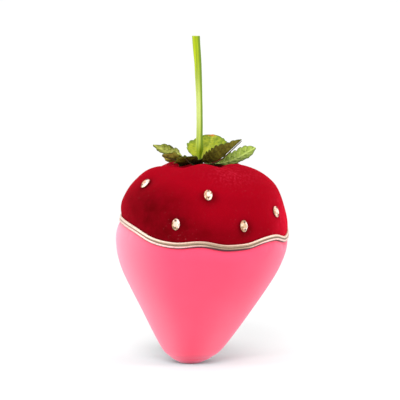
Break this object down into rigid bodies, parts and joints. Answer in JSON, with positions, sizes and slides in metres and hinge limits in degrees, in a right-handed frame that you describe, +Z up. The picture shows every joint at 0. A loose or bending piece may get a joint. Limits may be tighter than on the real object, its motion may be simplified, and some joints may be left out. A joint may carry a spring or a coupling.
{
  "type": "strawberry pin cushion",
  "caption": "Stuffed strawberry pin cushion with a velvet cap, smooth lower cover, braided seam, stone seeds, leaves and long stem.",
  "frame": {"origin": "centre of the flat foot, on the surface the cushion stands on", "axes": "+Z up along the stem; -Y is the front; +X is the right side seen from the front, the side the body leans to"},
  "size_m": [0.0815, 0.0835, 0.1535],
  "materials": {
    "red_velvet": "deep red cotton velvet with a short pile",
    "pink_velour": "smooth fine-pile pink velour",
    "fibre": "white fibre stuffing",
    "ballast": "calico bag of washed grit",
    "disc_board": "stiff grey board",
    "gold_braid": "metallic gold soutache braid",
    "thread": "waxed red sewing thread",
    "seed_crystal": "faceted champagne crystal with a foiled back",
    "green_felt": "dark green felt",
    "stem_plastic": "ridged soft plastic, light green",
    "wire": "straight drawn steel wire",
    "leaf_fabric": "stiffened printed leaf fabric",
    "rib_plastic": "moulded dark olive plastic"
  },
  "bodies": {
    "root": {"red_velvet_cover": "red_velvet", "pink_dip_cover": "pink_velour", "fibre_filling": "fibre", "ballast_bag": "ballast", "base_disc": "disc_board", "gold_braid": "gold_braid", "braid_join_tab": "gold_braid", "seed_stone_01": "seed_crystal", "seed_stone_02": "seed_crystal", "seed_stone_03": "seed_crystal", "seed_stone_04": "seed_crystal", "seed_stone_05": "seed_crystal", "seed_stone_06": "seed_crystal", "seed_stone_07": "seed_crystal", "seed_stone_08": "seed_crystal", "seed_stone_09": "seed_crystal", "seed_stone_10": "seed_crystal", "seed_stone_11": "seed_crystal", "seed_stone_12": "seed_crystal", "gather_thread": "thread", "calyx_pad": "green_felt", "stem": "stem_plastic", "stem_wire": "wire", "leaf_1": "leaf_fabric", "leaf_rib_1": "rib_plastic", "leaf_2": "leaf_fabric", "leaf_rib_2": "rib_plastic", "leaf_3": "leaf_fabric", "leaf_rib_3": "rib_plastic", "leaf_4": "leaf_fabric", "leaf_rib_4": "rib_plastic", "leaf_5": "leaf_fabric", "leaf_rib_5": "rib_plastic", "leaf_6": "leaf_fabric", "leaf_rib_6": "rib_plastic"}
  },
  "joints": []
}
